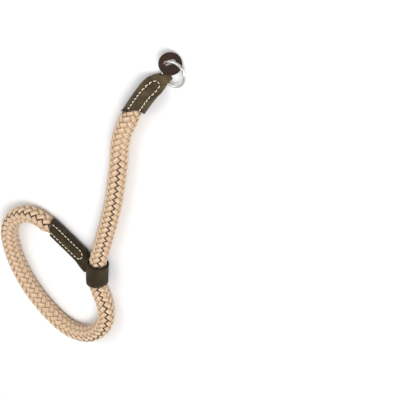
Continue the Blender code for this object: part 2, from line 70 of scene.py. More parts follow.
# The cord
# A round cotton rope of sixteen flat strands, eight each way, each over two and under two, round a soft
# core. It is laid on one long curve, and both its ends are squeezed thinner inside the leather.
CORD_DIAMETER = 0.0115
ROUTE = [
    (0.0537, -0.1436), (0.0546, -0.1404), (0.0556, -0.1364), (0.0561, -0.1316), (0.0558, -0.1260),
    (0.0550, -0.1180), (0.0539, -0.1098), (0.0523, -0.1016), (0.0496, -0.0930), (0.0456, -0.0848),
    (0.0400, -0.0766), (0.0330, -0.0650), (0.0246, -0.0500), (0.0170, -0.0340), (0.0106, -0.0190),
    (0.0046, -0.0068), (0.0, 0.0), (-0.0049, 0.0063), (-0.0114, 0.0116), (-0.0190, 0.0164),
    (-0.0250, 0.0230), (-0.0284, 0.0314), (-0.0289, 0.0404), (-0.0262, 0.0490), (-0.0202, 0.0560),
    (-0.0118, 0.0604), (-0.0016, 0.0620), (0.0090, 0.0620), (0.0200, 0.0606), (0.0310, 0.0574),
    (0.0416, 0.0526), (0.0510, 0.0460), (0.0584, 0.0382), (0.0620, 0.0290), (0.0613, 0.0198),
    (0.0570, 0.0122), (0.0502, 0.0073), (0.0416, 0.0051), (0.0300, 0.0038), (0.0170, 0.0026),
    (0.0055, 0.0020),
]
CURVE_STEPS = 24
AXIS_STEP = 0.0008
RING_END_LENGTH = 0.0344
RING_CORD_START = 0.0145
RING_MOUTH_SLANT = 0.0040
SLEEVE_LENGTH = 0.0350
NECK_LENGTH = 0.0105
LOOP_MOUTH_SLANT = -0.0025
BAND_LENGTH = 0.0150
BAND_CLIMB = 0.014
LEATHER_THICKNESS = 0.0011
TOUCHING_GAP = 0.0003
FLOOR_FLAT = 0.00025
RING_SQUEEZE = 0.76
LOOP_SQUEEZE = 0.64
SWELL_LENGTH = 0.0055
STRANDS_EACH_WAY = 8
BRAID_PITCH = 0.0043
STRAND_WIDTH = 0.00300
STRAND_THICKNESS = 0.00135
STRAND_LIFT = 0.00072
CORE_RADIUS = 0.0040
STRAND_RING_STEP = BRAID_PITCH / 6
STRAND_SECTION_POINTS = 10
CORE_SECTION_POINTS = 20
# Lengths along the strap, and how many degrees the braid has turned there
BRAID_TURNS = [(0.034, -10.0), (0.060, -22.0), (0.150, -24.0), (0.400, -24.0)]
# The dark zigzag of painted shade in the gap between two columns: where it lies round the cord, how far from
# there it reaches and how far it is full, the length of cord over which it begins, and the strand heights
# between which it ends
OPEN_ANGLE = math.radians(-11.25)
OPEN_REACH = math.radians(8.5)
OPEN_FULL = math.radians(5.5)
OPEN_FROM = (0.040, 0.062)
OPEN_HEIGHTS = (0.64, 0.76)
# The strand heights between which the painted shade of its diving ends fades, and where its side edges get
# painted shade
DIVE_HEIGHTS = (0.40, 0.86)
EDGE_SHADE_FROM = 0.72
YARN_LAY = 1500.0
YARN_SHIFT = 1.7
# Of these cotton tones, the deep one is painted shade on diving strands and strand edges, the gap one painted
# shade in the zigzag, the rim one painted shadow by the leather edges, and the core one painted shade at the
# bottom of the gaps
PALE_COTTON = (0.77, 0.585, 0.41, 1)
SHADED_COTTON = (0.20, 0.105, 0.048, 1)
PATCH_COTTON = (0.67, 0.46, 0.29, 1)
SPECK_COTTON = (0.42, 0.26, 0.145, 1)
YARN_COTTON = (0.38, 0.23, 0.125, 1)
GAP_SHADE_COTTON = (0.045, 0.022, 0.009, 1)
RIM_SHADOW_COTTON = (0.018, 0.010, 0.005, 1)
CORE_SHADE_COTTON = (0.09, 0.042, 0.014, 1)
PATCH_SCALE = 160.0
SPECK_SCALE = 1150.0
FUZZ_SCALE = 2600.0


def smooth_curve(points):
    """A centripetal Catmull-Rom curve through the points, as a fine polyline."""
    known = [np.array(p, float) for p in points]
    known = [2 * known[0] - known[1]] + known + [2 * known[-1] - known[-2]]
    line = []
    for a, b, c, d in zip(known, known[1:], known[2:], known[3:]):
        tb = math.sqrt(np.linalg.norm(b - a))
        tc = tb + math.sqrt(np.linalg.norm(c - b))
        td = tc + math.sqrt(np.linalg.norm(d - c))
        for t in np.linspace(tb, tc, CURVE_STEPS, endpoint=False):
            ab = (tb - t) / tb * a + t / tb * b
            bc = (tc - t) / (tc - tb) * b + (t - tb) / (tc - tb) * c
            cd = (td - t) / (td - tc) * c + (t - tc) / (td - tc) * d
            abc = (tc - t) / tc * ab + t / tc * bc
            bcd = (td - t) / (td - tb) * bc + (t - tb) / (td - tb) * cd
            line.append((tc - t) / (tc - tb) * abc + (t - tb) / (tc - tb) * bcd)
    line.append(known[-2])
    return np.array(line)


AXIS = smooth_curve(ROUTE)
AXIS_LENGTHS = np.concatenate([[0.0], np.cumsum(np.linalg.norm(np.diff(AXIS, axis=0), axis=1))])
AXIS_LENGTH = float(AXIS_LENGTHS[-1])
BAND_MIDDLE = float(AXIS_LENGTHS[ROUTE.index((0.0, 0.0)) * CURVE_STEPS])
BAND_START = BAND_MIDDLE - BAND_LENGTH / 2
BAND_END = BAND_MIDDLE + BAND_LENGTH / 2
LOOP_MOUTH = AXIS_LENGTH - SLEEVE_LENGTH
LOOP_CORD_END = AXIS_LENGTH - NECK_LENGTH
RING_SWELL = (RING_END_LENGTH - abs(RING_MOUTH_SLANT), RING_END_LENGTH + SWELL_LENGTH)
LOOP_SWELL = (LOOP_MOUTH - SWELL_LENGTH, LOOP_MOUTH + abs(LOOP_MOUTH_SLANT))
CORD_RADIUS = CORD_DIAMETER / 2
RING_HALF = CORD_RADIUS * RING_SQUEEZE + TOUCHING_GAP + LEATHER_THICKNESS
LOOP_HALF = CORD_RADIUS * LOOP_SQUEEZE + TOUCHING_GAP + LEATHER_THICKNESS
BAND_RADIUS = CORD_RADIUS + TOUCHING_GAP + LEATHER_THICKNESS


def ease(value, start, end):
    """0 before start, 1 after end, and a smooth step between them."""
    t = np.clip((np.asarray(value, float) - start) / (end - start), 0.0, 1.0)
    return t * t * (3 - 2 * t)


def cord_share(s):
    """The cord's thickness along the strap, as a share of its full size."""
    share = RING_SQUEEZE + (1 - RING_SQUEEZE) * ease(s, *RING_SWELL)
    return share - (1 - LOOP_SQUEEZE) * ease(s, *LOOP_SWELL)


def cord_height(s):
    """The height of the cord's middle over the floor."""
    start, end = RING_HALF - FLOOR_FLAT, LOOP_HALF - FLOOR_FLAT
    height = start + (CORD_RADIUS - start) * ease(s, *RING_SWELL)
    lift = BAND_RADIUS - FLOOR_FLAT - CORD_RADIUS
    height += lift * (ease(s, BAND_START - BAND_CLIMB, BAND_START) - ease(s, BAND_END, BAND_END + BAND_CLIMB))
    return height - (CORD_RADIUS - end) * ease(s, *LOOP_SWELL)


def flat_place(s):
    """Where the strap's axis is, seen from above."""
    return np.stack([np.interp(s, AXIS_LENGTHS, AXIS[:, k]) for k in (0, 1)], axis=-1)


def braid_turn(s):
    """How far the columns of the braid have turned round the cord."""
    places, degrees = zip(*BRAID_TURNS)
    return math.radians(float(np.interp(s, places, degrees)))


class Wire:
    """An output of a node. Sums and products of wires and numbers add the nodes that work them out."""

    def __init__(self, sheet, socket):
        self.sheet = sheet
        self.socket = socket
        self.is_vector = socket.type == "VECTOR"

    def combine(self, operation, first, second):
        vectors = []
        for value in (first, second):
            vectors.append(value.is_vector if isinstance(value, Wire) else isinstance(value, (tuple, Vector)))
        if not any(vectors):
            return self.sheet.node("ShaderNodeMath", {"operation": operation}, {0: first, 1: second})
        if all(vectors):
            return self.sheet.node("ShaderNodeVectorMath", {"operation": operation}, {0: first, 1: second})
        if vectors[1]:
            first, second = second, first
        return self.sheet.node("ShaderNodeVectorMath", {"operation": "SCALE"}, {0: first, "Scale": second})

    def __add__(self, other):
        return self.combine("ADD", self, other)

    def __radd__(self, other):
        return self.combine("ADD", other, self)

    def __sub__(self, other):
        return self.combine("SUBTRACT", self, other)

    def __rsub__(self, other):
        return self.combine("SUBTRACT", other, self)

    def __mul__(self, other):
        return self.combine("MULTIPLY", self, other)

    def __rmul__(self, other):
        return self.combine("MULTIPLY", other, self)

    def __truediv__(self, other):
        return self.combine("DIVIDE", self, other)

    def math(self, operation, other=None):
        inputs = {0: self} if other is None else {0: self, 1: other}
        return self.sheet.node("ShaderNodeMath", {"operation": operation}, inputs)

    def cross(self, other):
        return self.sheet.node("ShaderNodeVectorMath", {"operation": "CROSS_PRODUCT"}, {0: self, 1: other})

    def between(self, low, high):
        """0 at low, 1 at high and smooth between them."""
        settings = {"interpolation_type": "SMOOTHSTEP"}
        limits = {"Value": self, "From Min": low, "From Max": high}
        return self.sheet.node("ShaderNodeMapRange", settings, limits)

    def wave(self):
        """Between 0 and 1, once for every full turn of an angle."""
        return self.math("SINE") * 0.5 + 0.5


class Sheet:
    """A node tree that is filled in by calls."""

    def __init__(self, tree):
        self.tree = tree

    def node(self, kind, settings=None, inputs=None, output=0):
        made = self.tree.nodes.new(kind)
        for name, value in (settings or {}).items():
            setattr(made, name, value)
        for key, value in (inputs or {}).items():
            if isinstance(value, Wire):
                self.tree.links.new(value.socket, made.inputs[key])
            else:
                made.inputs[key].default_value = value
        if output is None:
            return [Wire(self, socket) for socket in made.outputs]
        return Wire(self, made.outputs[output])

    def mix(self, share, first, second):
        """A colour between two, as far along as the share says."""
        settings = {"data_type": "RGBA", "clamp_factor": True}
        return self.node("ShaderNodeMix", settings, {0: share, 6: first, 7: second}, 2)

    def painted(self, name):
        """A number that is stored on the mesh's points."""
        return self.node("ShaderNodeAttribute", {"attribute_name": name}, {}, 2)

    def place(self):
        """Where the shaded point is on the object."""
        return self.node("ShaderNodeTexCoord", {}, {}, 3)

    def noise(self, place, scale, detail=2.0):
        return self.node("ShaderNodeTexNoise", {}, {"Vector": place, "Scale": scale, "Detail": detail})

    def bump(self, height, strength, depth):
        """Small relief, as deep as the depth where the height goes from 0 to 1."""
        return self.node("ShaderNodeBump", {}, {"Strength": strength, "Distance": depth, "Height": height})


class Pattern(Sheet):
    """A Geometry Nodes tree with named inputs."""

    def __init__(self, name):
        super().__init__(bpy.data.node_groups.new(name, "GeometryNodeTree"))
        self.tree.interface.new_socket("Geometry", in_out="INPUT", socket_type="NodeSocketGeometry")
        self.tree.interface.new_socket("Geometry", in_out="OUTPUT", socket_type="NodeSocketGeometry")
        self.start = self.tree.nodes.new("NodeGroupInput")
        self.values = {}

    def given(self, name, kind, value):
        """A named input of the tree, with the value that this strap has."""
        socket = self.tree.interface.new_socket(name, in_out="INPUT", socket_type="NodeSocket" + kind)
        self.values[socket.identifier] = value
        return Wire(self, self.start.outputs[name])

    def geometry(self):
        return Wire(self, self.start.outputs["Geometry"])

    def label(self, geometry, name, value):
        """Stores a number on the geometry's points."""
        settings = {"data_type": "FLOAT", "domain": "POINT"}
        inputs = {"Geometry": geometry, "Name": name, "Value": value}
        return self.node("GeometryNodeStoreNamedAttribute", settings, inputs)

    def done(self, parts):
        """Joins the parts, gives each its material and ends the tree."""
        joined = self.tree.nodes.new("GeometryNodeJoinGeometry")
        for part, material in parts:
            real = self.node("GeometryNodeRealizeInstances", {}, {"Geometry": part})
            dressed = self.node("GeometryNodeSetMaterial", {}, {"Geometry": real, "Material": material})
            self.tree.links.new(dressed.socket, joined.inputs[0])
        smooth = self.node("GeometryNodeSetShadeSmooth", {}, {"Geometry": Wire(self, joined.outputs[0])})
        end = self.tree.nodes.new("NodeGroupOutput")
        self.tree.links.new(smooth.socket, end.inputs["Geometry"])

    def applied_to(self, carrier, name):
        """The mesh that the tree makes from a carrier object, as a plain object of its own."""
        modifier = carrier.modifiers.new("pattern", "NODES")
        modifier.node_group = self.tree
        for identifier, value in self.values.items():
            modifier[identifier] = value
        return plain_copy(carrier, name)


def plain_copy(carrier, name):
    """The carrier's evaluated mesh as a new object. The carrier is removed."""
    bpy.context.view_layer.update()
    seen = carrier.evaluated_get(bpy.context.evaluated_depsgraph_get())
    mesh = bpy.data.meshes.new_from_object(seen)
    bpy.data.objects.remove(carrier, do_unlink=True)
    mesh.name = name
    return show(name, mesh)


def show(name, data):
    made = bpy.data.objects.new(name, data)
    bpy.context.scene.collection.objects.link(made)
    return made


def new_finish(name, **constants):
    """A new material, its sheet of nodes and its Principled shader, with the values that never vary."""
    material = bpy.data.materials.new(name)
    material.use_nodes = True
    shader = material.node_tree.nodes["Principled BSDF"]
    for label, value in constants.items():
        words = label.replace("_", " ")
        shader.inputs["Specular IOR Level" if words == "specular" else words.title()].default_value = value
    return material, Sheet(material.node_tree), shader


def feed(sheet, shader, **wires):
    """Links what varies over the surface to the shader."""
    for label, wire in wires.items():
        sheet.tree.links.new(wire.socket, shader.inputs[label.replace("_", " ").title()])


def cotton_finish():
    """Soft undyed cotton: yarn lines along each strand, and painted shade in the gaps, on strand edges and in
    one dark zigzag.
    """
    material, sheet, shader = new_finish(
        "braided_cotton", specular=0.2, sheen_weight=0.2, sheen_roughness=0.5, roughness=0.9,
    )
    along, across = sheet.painted("along"), sheet.painted("across")
    strand, angle = sheet.painted("strand"), sheet.painted("angle")
    height = (angle * (STRANDS_EACH_WAY / 2) - math.pi / 4).math("COSINE") * sheet.painted("way") * 0.5 + 0.5
    # Painted shade in the zigzag gap between two columns, where the strands part
    painted_gap_shade = (angle - OPEN_ANGLE).math("COSINE").between(math.cos(OPEN_REACH), math.cos(OPEN_FULL))
    painted_gap_shade = painted_gap_shade * along.between(*OPEN_FROM) * (1 - height.between(*OPEN_HEIGHTS))
    yarns = (across * 2 * math.pi + along * YARN_LAY + strand).wave()
    # Where a strand's side edges meet its neighbours, which get painted shade
    edges = (across * 2 * math.pi).math("SINE").math("ABSOLUTE").between(EDGE_SHADE_FROM, 1.0)
    place = sheet.place()
    fuzz = sheet.noise(place, FUZZ_SCALE, 3.0)
    patches = sheet.noise(place, PATCH_SCALE)
    specks = sheet.noise(place, SPECK_SCALE)
    # Painted shade on each strand where it dives under the others and along its side edges
    colour = sheet.mix(height.between(*DIVE_HEIGHTS), SHADED_COTTON, PALE_COTTON)
    colour = sheet.mix(edges * 0.75, colour, SHADED_COTTON)
    colour = sheet.mix((patches - 0.5) * 0.8 + 0.25, colour, PATCH_COTTON)
    colour = sheet.mix(specks.between(0.50, 0.72) * 0.45, colour, SPECK_COTTON)
    colour = sheet.mix(yarns * 0.26, colour, YARN_COTTON)
    # The zigzag gap is painted near-black as its shade
    colour = sheet.mix(painted_gap_shade, colour, GAP_SHADE_COTTON)
    # Painted shadow on the cord next to the leather's edges
    colour = sheet.mix(sheet.painted("shaded") * 0.95, colour, RIM_SHADOW_COTTON)
    feed(sheet, shader, base_color=colour, normal=sheet.bump(yarns * 0.6 + fuzz * 0.6, 0.5, 0.0004))
    return material


def core_finish():
    """The soft core, painted dark as the shade seen at the bottom of the gaps."""
    return new_finish("cord_core", base_color=CORE_SHADE_COTTON, roughness=0.95)[0]


def lay_axis(name):
    """The strap's axis inside the cord, as a curve with the cord's thickness and the braid's slow turn."""
    count = int((LOOP_CORD_END - RING_CORD_START) / AXIS_STEP)
    lengths = np.linspace(RING_CORD_START, LOOP_CORD_END, count)
    flat = flat_place(lengths)
    heights = cord_height(lengths)
    shares = cord_share(lengths)
    curve = bpy.data.curves.new(name, "CURVE")
    curve.dimensions = "3D"
    curve.twist_mode = "Z_UP"
    spline = curve.splines.new("POLY")
    spline.points.add(len(lengths) - 1)
    for k, point in enumerate(spline.points):
        point.co = (flat[k][0], flat[k][1], heights[k], 1.0)
        point.radius = shares[k]
        point.tilt = braid_turn(lengths[k])
    return show(name, curve), [(*spot, height) for spot, height in zip(flat.tolist(), heights.tolist())]


cord_axis, cord_line = lay_axis("cord_axis")

braid = Pattern("braid")
each_way = braid.given("Strands each way", "Int", STRANDS_EACH_WAY)
pitch = braid.given("Pitch", "Float", BRAID_PITCH)
width = braid.given("Strand width", "Float", STRAND_WIDTH)
thickness = braid.given("Strand thickness", "Float", STRAND_THICKNESS)
lift = braid.given("Lift", "Float", STRAND_LIFT)
outside = braid.given("Cord radius", "Float", CORD_RADIUS)
core_radius = braid.given("Core radius", "Float", CORE_RADIUS)
ring_step = braid.given("Ring step", "Float", STRAND_RING_STEP)
section_points = braid.given("Section points", "Int", STRAND_SECTION_POINTS)

length = braid.node("GeometryNodeCurveLength", {}, {"Curve": braid.geometry()})
lay = braid.node("GeometryNodeCurvePrimitiveLine", {}, {"End": (1.0, 0.0, 0.0)})
lay = braid.node("GeometryNodeResampleCurve", {"mode": "COUNT"}, {"Curve": lay, "Count": length / ring_step})
strands, number = braid.node(
    "GeometryNodeDuplicateElements", {"domain": "SPLINE"}, {"Geometry": lay, "Amount": each_way * 2}, None,
)
s_along = braid.node("GeometryNodeSplineParameter") * length
way = 1 - 2 * number.math("MODULO", 2.0)
carrier = (number / 2).math("FLOOR")
step_angle = 2 * math.pi / STRANDS_EACH_WAY
angle = way * s_along / pitch * step_angle + carrier * step_angle
axis_radius = braid.node("GeometryNodeInputRadius")
share, middle, heading, side = braid.node(
    "GeometryNodeSampleCurve", {"mode": "LENGTH", "data_type": "FLOAT"},
    {"Curves": braid.geometry(), "Value": axis_radius, "Length": s_along}, None,
)
up = side.cross(heading)
out = up * angle.math("COSINE") + side * angle.math("SINE")
columns = (angle * (STRANDS_EACH_WAY / 2) - math.pi / 4).math("COSINE") * way
reach = share * (outside - thickness / 2 - lift + lift * columns)
placed = braid.label(strands, "along", s_along)
placed = braid.label(placed, "strand", number * YARN_SHIFT)
placed = braid.label(placed, "angle", angle)
placed = braid.label(placed, "way", way)
placed = braid.label(placed, "share", share)
placed = braid.node("GeometryNodeSetCurveNormal", {"mode": "FREE"}, {"Curve": placed, "Normal": out})
spot = middle + out * reach
placed = braid.node("GeometryNodeSetPosition", {}, {"Geometry": placed, "Position": spot})
ring = braid.node("GeometryNodeCurvePrimitiveCircle", {}, {"Resolution": section_points, "Radius": 1.0})
ring = braid.label(ring, "across", braid.node("GeometryNodeSplineParameter"))
flatten = braid.node("ShaderNodeCombineXYZ", {}, {"X": thickness / 2, "Y": width / 2, "Z": 1.0})
round_spot = braid.node("GeometryNodeInputPosition")
flat_spot = braid.node("ShaderNodeVectorMath", {"operation": "MULTIPLY"}, {0: round_spot, 1: flatten})
ring = braid.node("GeometryNodeSetPosition", {}, {"Geometry": ring, "Position": flat_spot})
strand_size = braid.node("GeometryNodeInputNamedAttribute", {"data_type": "FLOAT"}, {"Name": "share"})
strand_mesh = braid.node(
    "GeometryNodeCurveToMesh", {},
    {"Curve": placed, "Profile Curve": ring, "Scale": strand_size, "Fill Caps": True},
)
core_ring = braid.node(
    "GeometryNodeCurvePrimitiveCircle", {}, {"Resolution": CORE_SECTION_POINTS, "Radius": core_radius},
)
core_mesh = braid.node(
    "GeometryNodeCurveToMesh", {},
    {"Curve": braid.geometry(), "Profile Curve": core_ring, "Scale": axis_radius, "Fill Caps": True},
)
braid.done([(strand_mesh, cotton_finish()), (core_mesh, core_finish())])
cord = braid.applied_to(cord_axis, "cord")

ring_mouth = flat_place(RING_END_LENGTH).tolist() + [float(cord_height(RING_END_LENGTH))]
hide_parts("braided_cord")
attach(cord, "strap")

# The ring-end leather
# One strip of olive-brown leather, folded round the split ring at its tip and wrapped over the cord's end.
# Two rows of stitches go through leather and cord on each face, and the face's edge arches over the cord.
EYE_RADIUS = 0.001692
TONGUE_WIDTH = 0.0049
TONGUE_FLARE = 0.0008
SLEEVE_ROLL = math.radians(-8)
SHOULDER_LENGTH = 0.0110
PINCH_PLACE = 0.0068
PINCH_HALF_HEIGHT = 0.0020
TIP_EDGE_HEIGHT = 0.00092
EDGE_THICKNESS = 0.0005
SECTION_SQUARENESS = 2.4
SIDE_SPREAD = 1.03
MOUTH_SHAPE_REACH = 0.013
HEADING_REACH = 0.0004
SKIN_STEP = 0.00045
SKIN_SIDES = 100
EVEN_FACE = 0.00023
SMOOTH_ROUNDS = 8
TIP_HALF_HEIGHT = EYE_RADIUS + LEATHER_THICKNESS
FACINGS = (0.0, math.pi)
STITCH_PITCH = 0.00257
GROOVE_DEPTH = 0.00042
GROOVE_WIDTH = 0.00075
HOLE_WIDTH = 0.00045
HOLE_MARGIN = 0.0003
SEAM_STEP = 0.00015
PANEL_CROWN = 0.00022
PANEL_HALF_WIDTH = 0.0021
PANEL_STEP = 0.0004
RIM_SIDES = 240
RIM_CALM_REACH = 0.0012
RIM_LEAST_RELIEF = 0.3
CUT_EDGE = (0.0003, 0.0013)
TIP_FADE = (0.004, 0.013)
CLOUD_SCALE = 190.0
STREAK_SCALE = 900.0
PORE_SCALE = 2300.0
GRAIN_SCALE = 4200.0
EYE_SIDES = 64
# Its raw tone on the cut edges is darker than its face: partly the edge's own tone, partly painted shade
# along the arched mouth over the cord
OLIVE_LEATHER = SimpleNamespace(
    base=(0.050, 0.033, 0.014, 1), worn=(0.092, 0.063, 0.029, 1), dark=(0.014, 0.008, 0.004, 1),
    raw=(0.022, 0.010, 0.005, 1), tip=(0.115, 0.083, 0.037, 1),
)


def ring_end_half_height(s):
    """A rounded fold round the ring, a pinched neck, then the full sleeve over the cord."""
    from_fold = 1 - np.minimum(s / TIP_HALF_HEIGHT, 1.0)
    height = np.maximum(TIP_HALF_HEIGHT * np.sqrt(1 - from_fold**2), TIP_EDGE_HEIGHT)
    height = height - (TIP_HALF_HEIGHT - PINCH_HALF_HEIGHT) * ease(s, TIP_HALF_HEIGHT, PINCH_PLACE)
    height = height + (RING_HALF - PINCH_HALF_HEIGHT) * ease(s, PINCH_PLACE, RING_CORD_START)
    return np.where(s > RING_CORD_START, over_cord(s, height), height)


def ring_end_half_width(s):
    """A narrow tongue that widens to a sharp shoulder."""
    places = (0.0, TIP_HALF_HEIGHT, SHOULDER_LENGTH)
    width = np.interp(s, places, (TONGUE_WIDTH / 2, TONGUE_WIDTH / 2 + TONGUE_FLARE, RING_HALF * SIDE_SPREAD))
    return np.where(s > RING_CORD_START, over_cord(s, width), width)


def over_cord(s, half):
    """Half a sleeve's size, or what its thin edge needs where it lies on the swelling cord."""
    return np.maximum(half, CORD_RADIUS * cord_share(s) + TOUCHING_GAP + EDGE_THICKNESS)


RING_END = SimpleNamespace(
    half_height=ring_end_half_height,
    half_width=ring_end_half_width,
    height=lambda s: np.where(s <= RING_SWELL[0], ring_end_half_height(s) - FLOOR_FLAT, cord_height(s)),
    roll=lambda s: SLEEVE_ROLL * ease(s, TIP_HALF_HEIGHT, SHOULDER_LENGTH),
    mouth=RING_END_LENGTH, outward=1, arch=0.0065, slant=RING_MOUTH_SLANT,
    row_offset=0.00285, row_end=0.0115, arc_length=0.0042,
)


def section_point(end, s, angle, reach):
    """A point beside the axis, at an angle from the middle of the piece's stitched face."""
    ahead, behind = flat_place(s + HEADING_REACH), flat_place(s - HEADING_REACH)
    heading = (ahead - behind) / np.linalg.norm(ahead - behind, axis=-1, keepdims=True)
    roll = end.roll(s)
    across = np.sin(angle) * np.cos(roll) + np.cos(angle) * np.sin(roll)
    upward = np.cos(angle) * np.cos(roll) - np.sin(angle) * np.sin(roll)
    direction = np.stack([heading[..., 1] * across, -heading[..., 0] * across, upward], axis=-1)
    centre = np.concatenate([flat_place(s), end.height(s)[..., None]], axis=-1)
    return centre + direction * reach[..., None], direction


def skin_reach(end, s, angle):
    """How far a soft-cornered section reaches at an angle."""
    across = np.abs(np.sin(angle) / end.half_width(s)) ** SECTION_SQUARENESS
    upward = np.abs(np.cos(angle) / end.half_height(s)) ** SECTION_SQUARENESS
    return (across + upward) ** (-1 / SECTION_SQUARENESS)


def edge_place(end, angle):
    """Where the sleeve's edge is: arched back over the cord on the stitched face, and cut at a slant."""
    return end.mouth - end.outward * (end.arch * np.maximum(np.cos(angle), 0.0) - end.slant * np.sin(angle))


def leather_ring(end, s, inside):
    """A ring of the outer skin, or of the pocket of the cord inside it, leaning into the mouth's shape."""
    angles = 2 * math.pi * (np.arange(SKIN_SIDES) + 0.5) / SKIN_SIDES
    near = 1 - min(abs(s - end.mouth) / MOUTH_SHAPE_REACH, 1.0)
    places = s + (edge_place(end, angles) - end.mouth) * near
    reach = CORD_RADIUS * cord_share(places) + TOUCHING_GAP if inside else skin_reach(end, places, angles)
    points, _ = section_point(end, places, angles, reach)
    if not inside:
        points[:, 2] = np.maximum(points[:, 2], 0.0)
    return points


def stations(start, end, spacing):
    return np.linspace(start, end, max(2, math.ceil(abs(end - start) / spacing)) + 1)


def loft(name, rings):
    """A closed mesh through rings of points, with a flat face at each end."""
    count = len(rings[0])
    faces = []
    for row in range(len(rings) - 1):
        for k in range(count):
            n = (k + 1) % count
            faces.append((row * count + k, row * count + n, (row + 1) * count + n, (row + 1) * count + k))
    faces.append(tuple(range(count)))
    faces.append(tuple((len(rings) - 1) * count + k for k in reversed(range(count))))
    mesh = bpy.data.meshes.new(name)
    mesh.from_pydata(np.concatenate(rings).tolist(), [], faces)
    shape = bmesh.new()
    shape.from_mesh(mesh)
    bmesh.ops.recalc_face_normals(shape, faces=shape.faces)
    shape.to_mesh(mesh)
    shape.free()
    return mesh


def sleeve(name, end, far_end, pocket_end):
    """The skin from the far end to the mouth, then the pocket of the sewn-in cord back inside."""
    rings = [leather_ring(end, s, False) for s in stations(far_end, end.mouth, SKIN_STEP)]
    rings += [leather_ring(end, s, True) for s in stations(end.mouth, pocket_end, SKIN_STEP)]
    return loft(name, rings)


def carve(target, cutter_mesh, name, operation="DIFFERENCE"):
    """Cuts the target with a closed mesh, or joins it on."""
    tool = target.modifiers.new(name, "BOOLEAN")
    tool.operation = operation
    tool.solver = "EXACT"
    tool.object = show(name, cutter_mesh)


def soften(target, name):
    """The piece with an even skin of small faces and edges that are rounded as cut leather's are."""
    even = target.modifiers.new("even", "REMESH")
    even.mode = "VOXEL"
    even.voxel_size = EVEN_FACE
    rub = target.modifiers.new("rub", "SMOOTH")
    rub.factor = 0.5
    rub.iterations = SMOOTH_ROUNDS
    cutters = [tool.object for tool in target.modifiers if tool.type == "BOOLEAN"]
    made = plain_copy(target, name)
    for cutter in cutters:
        bpy.data.objects.remove(cutter, do_unlink=True)
    made.data.shade_smooth()
    return made


def row_angle(end, s, offset):
    """The angle round the section of a stitch that lies the given distance off the face's middle line."""
    share = (np.abs(offset) / end.half_width(s)) ** SECTION_SQUARENESS
    return np.arctan2(offset, end.half_height(s) * (1 - share) ** (1 / SECTION_SQUARENESS))


def stitch_row(end, facing, spacing, margin, proud):
    """The U of a seam: down one row, round its closed end and back up, with the way out of the leather."""
    arm = {}
    for way in (-1, 1):
        edge = float(edge_place(end, row_angle(end, np.float64(end.mouth), way * end.row_offset) + facing))
        places = stations(edge - end.outward * margin, end.row_end, spacing)
        arm[way] = np.stack([places, np.full(len(places), way * end.row_offset)], axis=-1)
    turn = stations(0.0, math.pi, spacing / end.arc_length)[1:-1]
    bend_places = end.row_end - end.outward * end.arc_length * np.sin(turn)
    bend = np.stack([bend_places, -end.row_offset * np.cos(turn)], axis=-1)
    s, offset = np.concatenate([arm[-1], bend, arm[1][::-1]]).T
    angle = row_angle(end, s, offset) + facing
    return section_point(end, s, angle, skin_reach(end, s, angle) + proud)


def nearest(points, targets):
    """How far each point is from the nearest target."""
    tree = KDTree(len(targets))
    for k, target in enumerate(targets):
        tree.insert(target, k)
    tree.balance()
    return np.array([tree.find(point)[2] for point in points])


def mesh_points(mesh):
    values = np.empty(len(mesh.vertices) * 3, np.float32)
    mesh.vertices.foreach_get("co", values)
    return values.reshape(-1, 3).astype(float)


def mesh_normals(mesh):
    values = np.empty(len(mesh.vertices) * 3, np.float32)
    mesh.vertex_normals.foreach_get("vector", values)
    return values.reshape(-1, 3).astype(float)


def paint(mesh, name, values):
    """Stores a number on each of the mesh's points."""
    mesh.attributes.new(name, "FLOAT", "POINT").data.foreach_set("value", np.asarray(values, np.float32))


def seam_points(end, spacing, margin):
    """Points along the two U-shaped seams, on the face and on the back."""
    return np.concatenate([stitch_row(end, facing, spacing, margin, 0.0)[0] for facing in FACINGS])


def panel_points(end):
    """Points down the middle of the face and of the back, between the rows of stitches."""
    places = stations(end.row_end, end.mouth - end.outward * end.arch, PANEL_STEP)
    lines = []
    for facing in FACINGS:
        angles = np.full(len(places), facing)
        lines.append(section_point(end, places, angles, skin_reach(end, places, facing))[0])
    return np.concatenate(lines)


def rim_points(end, on_cord):
    """Points round a sleeve's edge, on its outer skin or on the cord inside it."""
    angles = 2 * math.pi * np.arange(RIM_SIDES) / RIM_SIDES
    places = edge_place(end, angles)
    reach = CORD_RADIUS * cord_share(places) if on_cord else skin_reach(end, places, angles)
    return section_point(end, places, angles, reach)[0]


def dress(piece, end):
    """Sinks the seams and holes into a leather end, paints shade into them, and paints where it is cut and
    folded.
    """
    mesh = piece.data
    points, normals = mesh_points(mesh), mesh_normals(mesh)
    groove = np.exp(-((nearest(points, seam_points(end, SEAM_STEP, 0.0)) / GROOVE_WIDTH) ** 2))
    hole = np.exp(-((nearest(points, seam_points(end, STITCH_PITCH, HOLE_MARGIN)) / HOLE_WIDTH) ** 2))
    crown = np.exp(-((nearest(points, panel_points(end)) / PANEL_HALF_WIDTH) ** 4))
    from_rim = nearest(points, rim_points(end, False))
    move = PANEL_CROWN * crown * (1 - groove) - GROOVE_DEPTH * groove - 0.5 * GROOVE_DEPTH * hole
    move *= ease(from_rim, 0.0, RIM_CALM_REACH) * (1 - RIM_LEAST_RELIEF) + RIM_LEAST_RELIEF
    points += normals * move[:, None]
    points[:, 2] = np.maximum(points[:, 2], 0.0)
    mesh.vertices.foreach_set("co", points.astype(np.float32).ravel())
    mesh.update()
    # Painted shade in the seam grooves and stitch holes
    paint(mesh, "crease_shade", np.clip(groove * 0.7 + hole, 0.0, 1.0))
    # The cut edges' tone; on the ring end its dark band round the mouth is partly painted shade
    paint(mesh, "cut_edge", 1 - ease(from_rim, *CUT_EDGE))
    tip = section_point(end, np.array([0.0]), np.array([0.0]), np.array([0.0]))[0]
    paint(mesh, "tip", 1 - ease(np.linalg.norm(points - tip, axis=-1), *TIP_FADE))


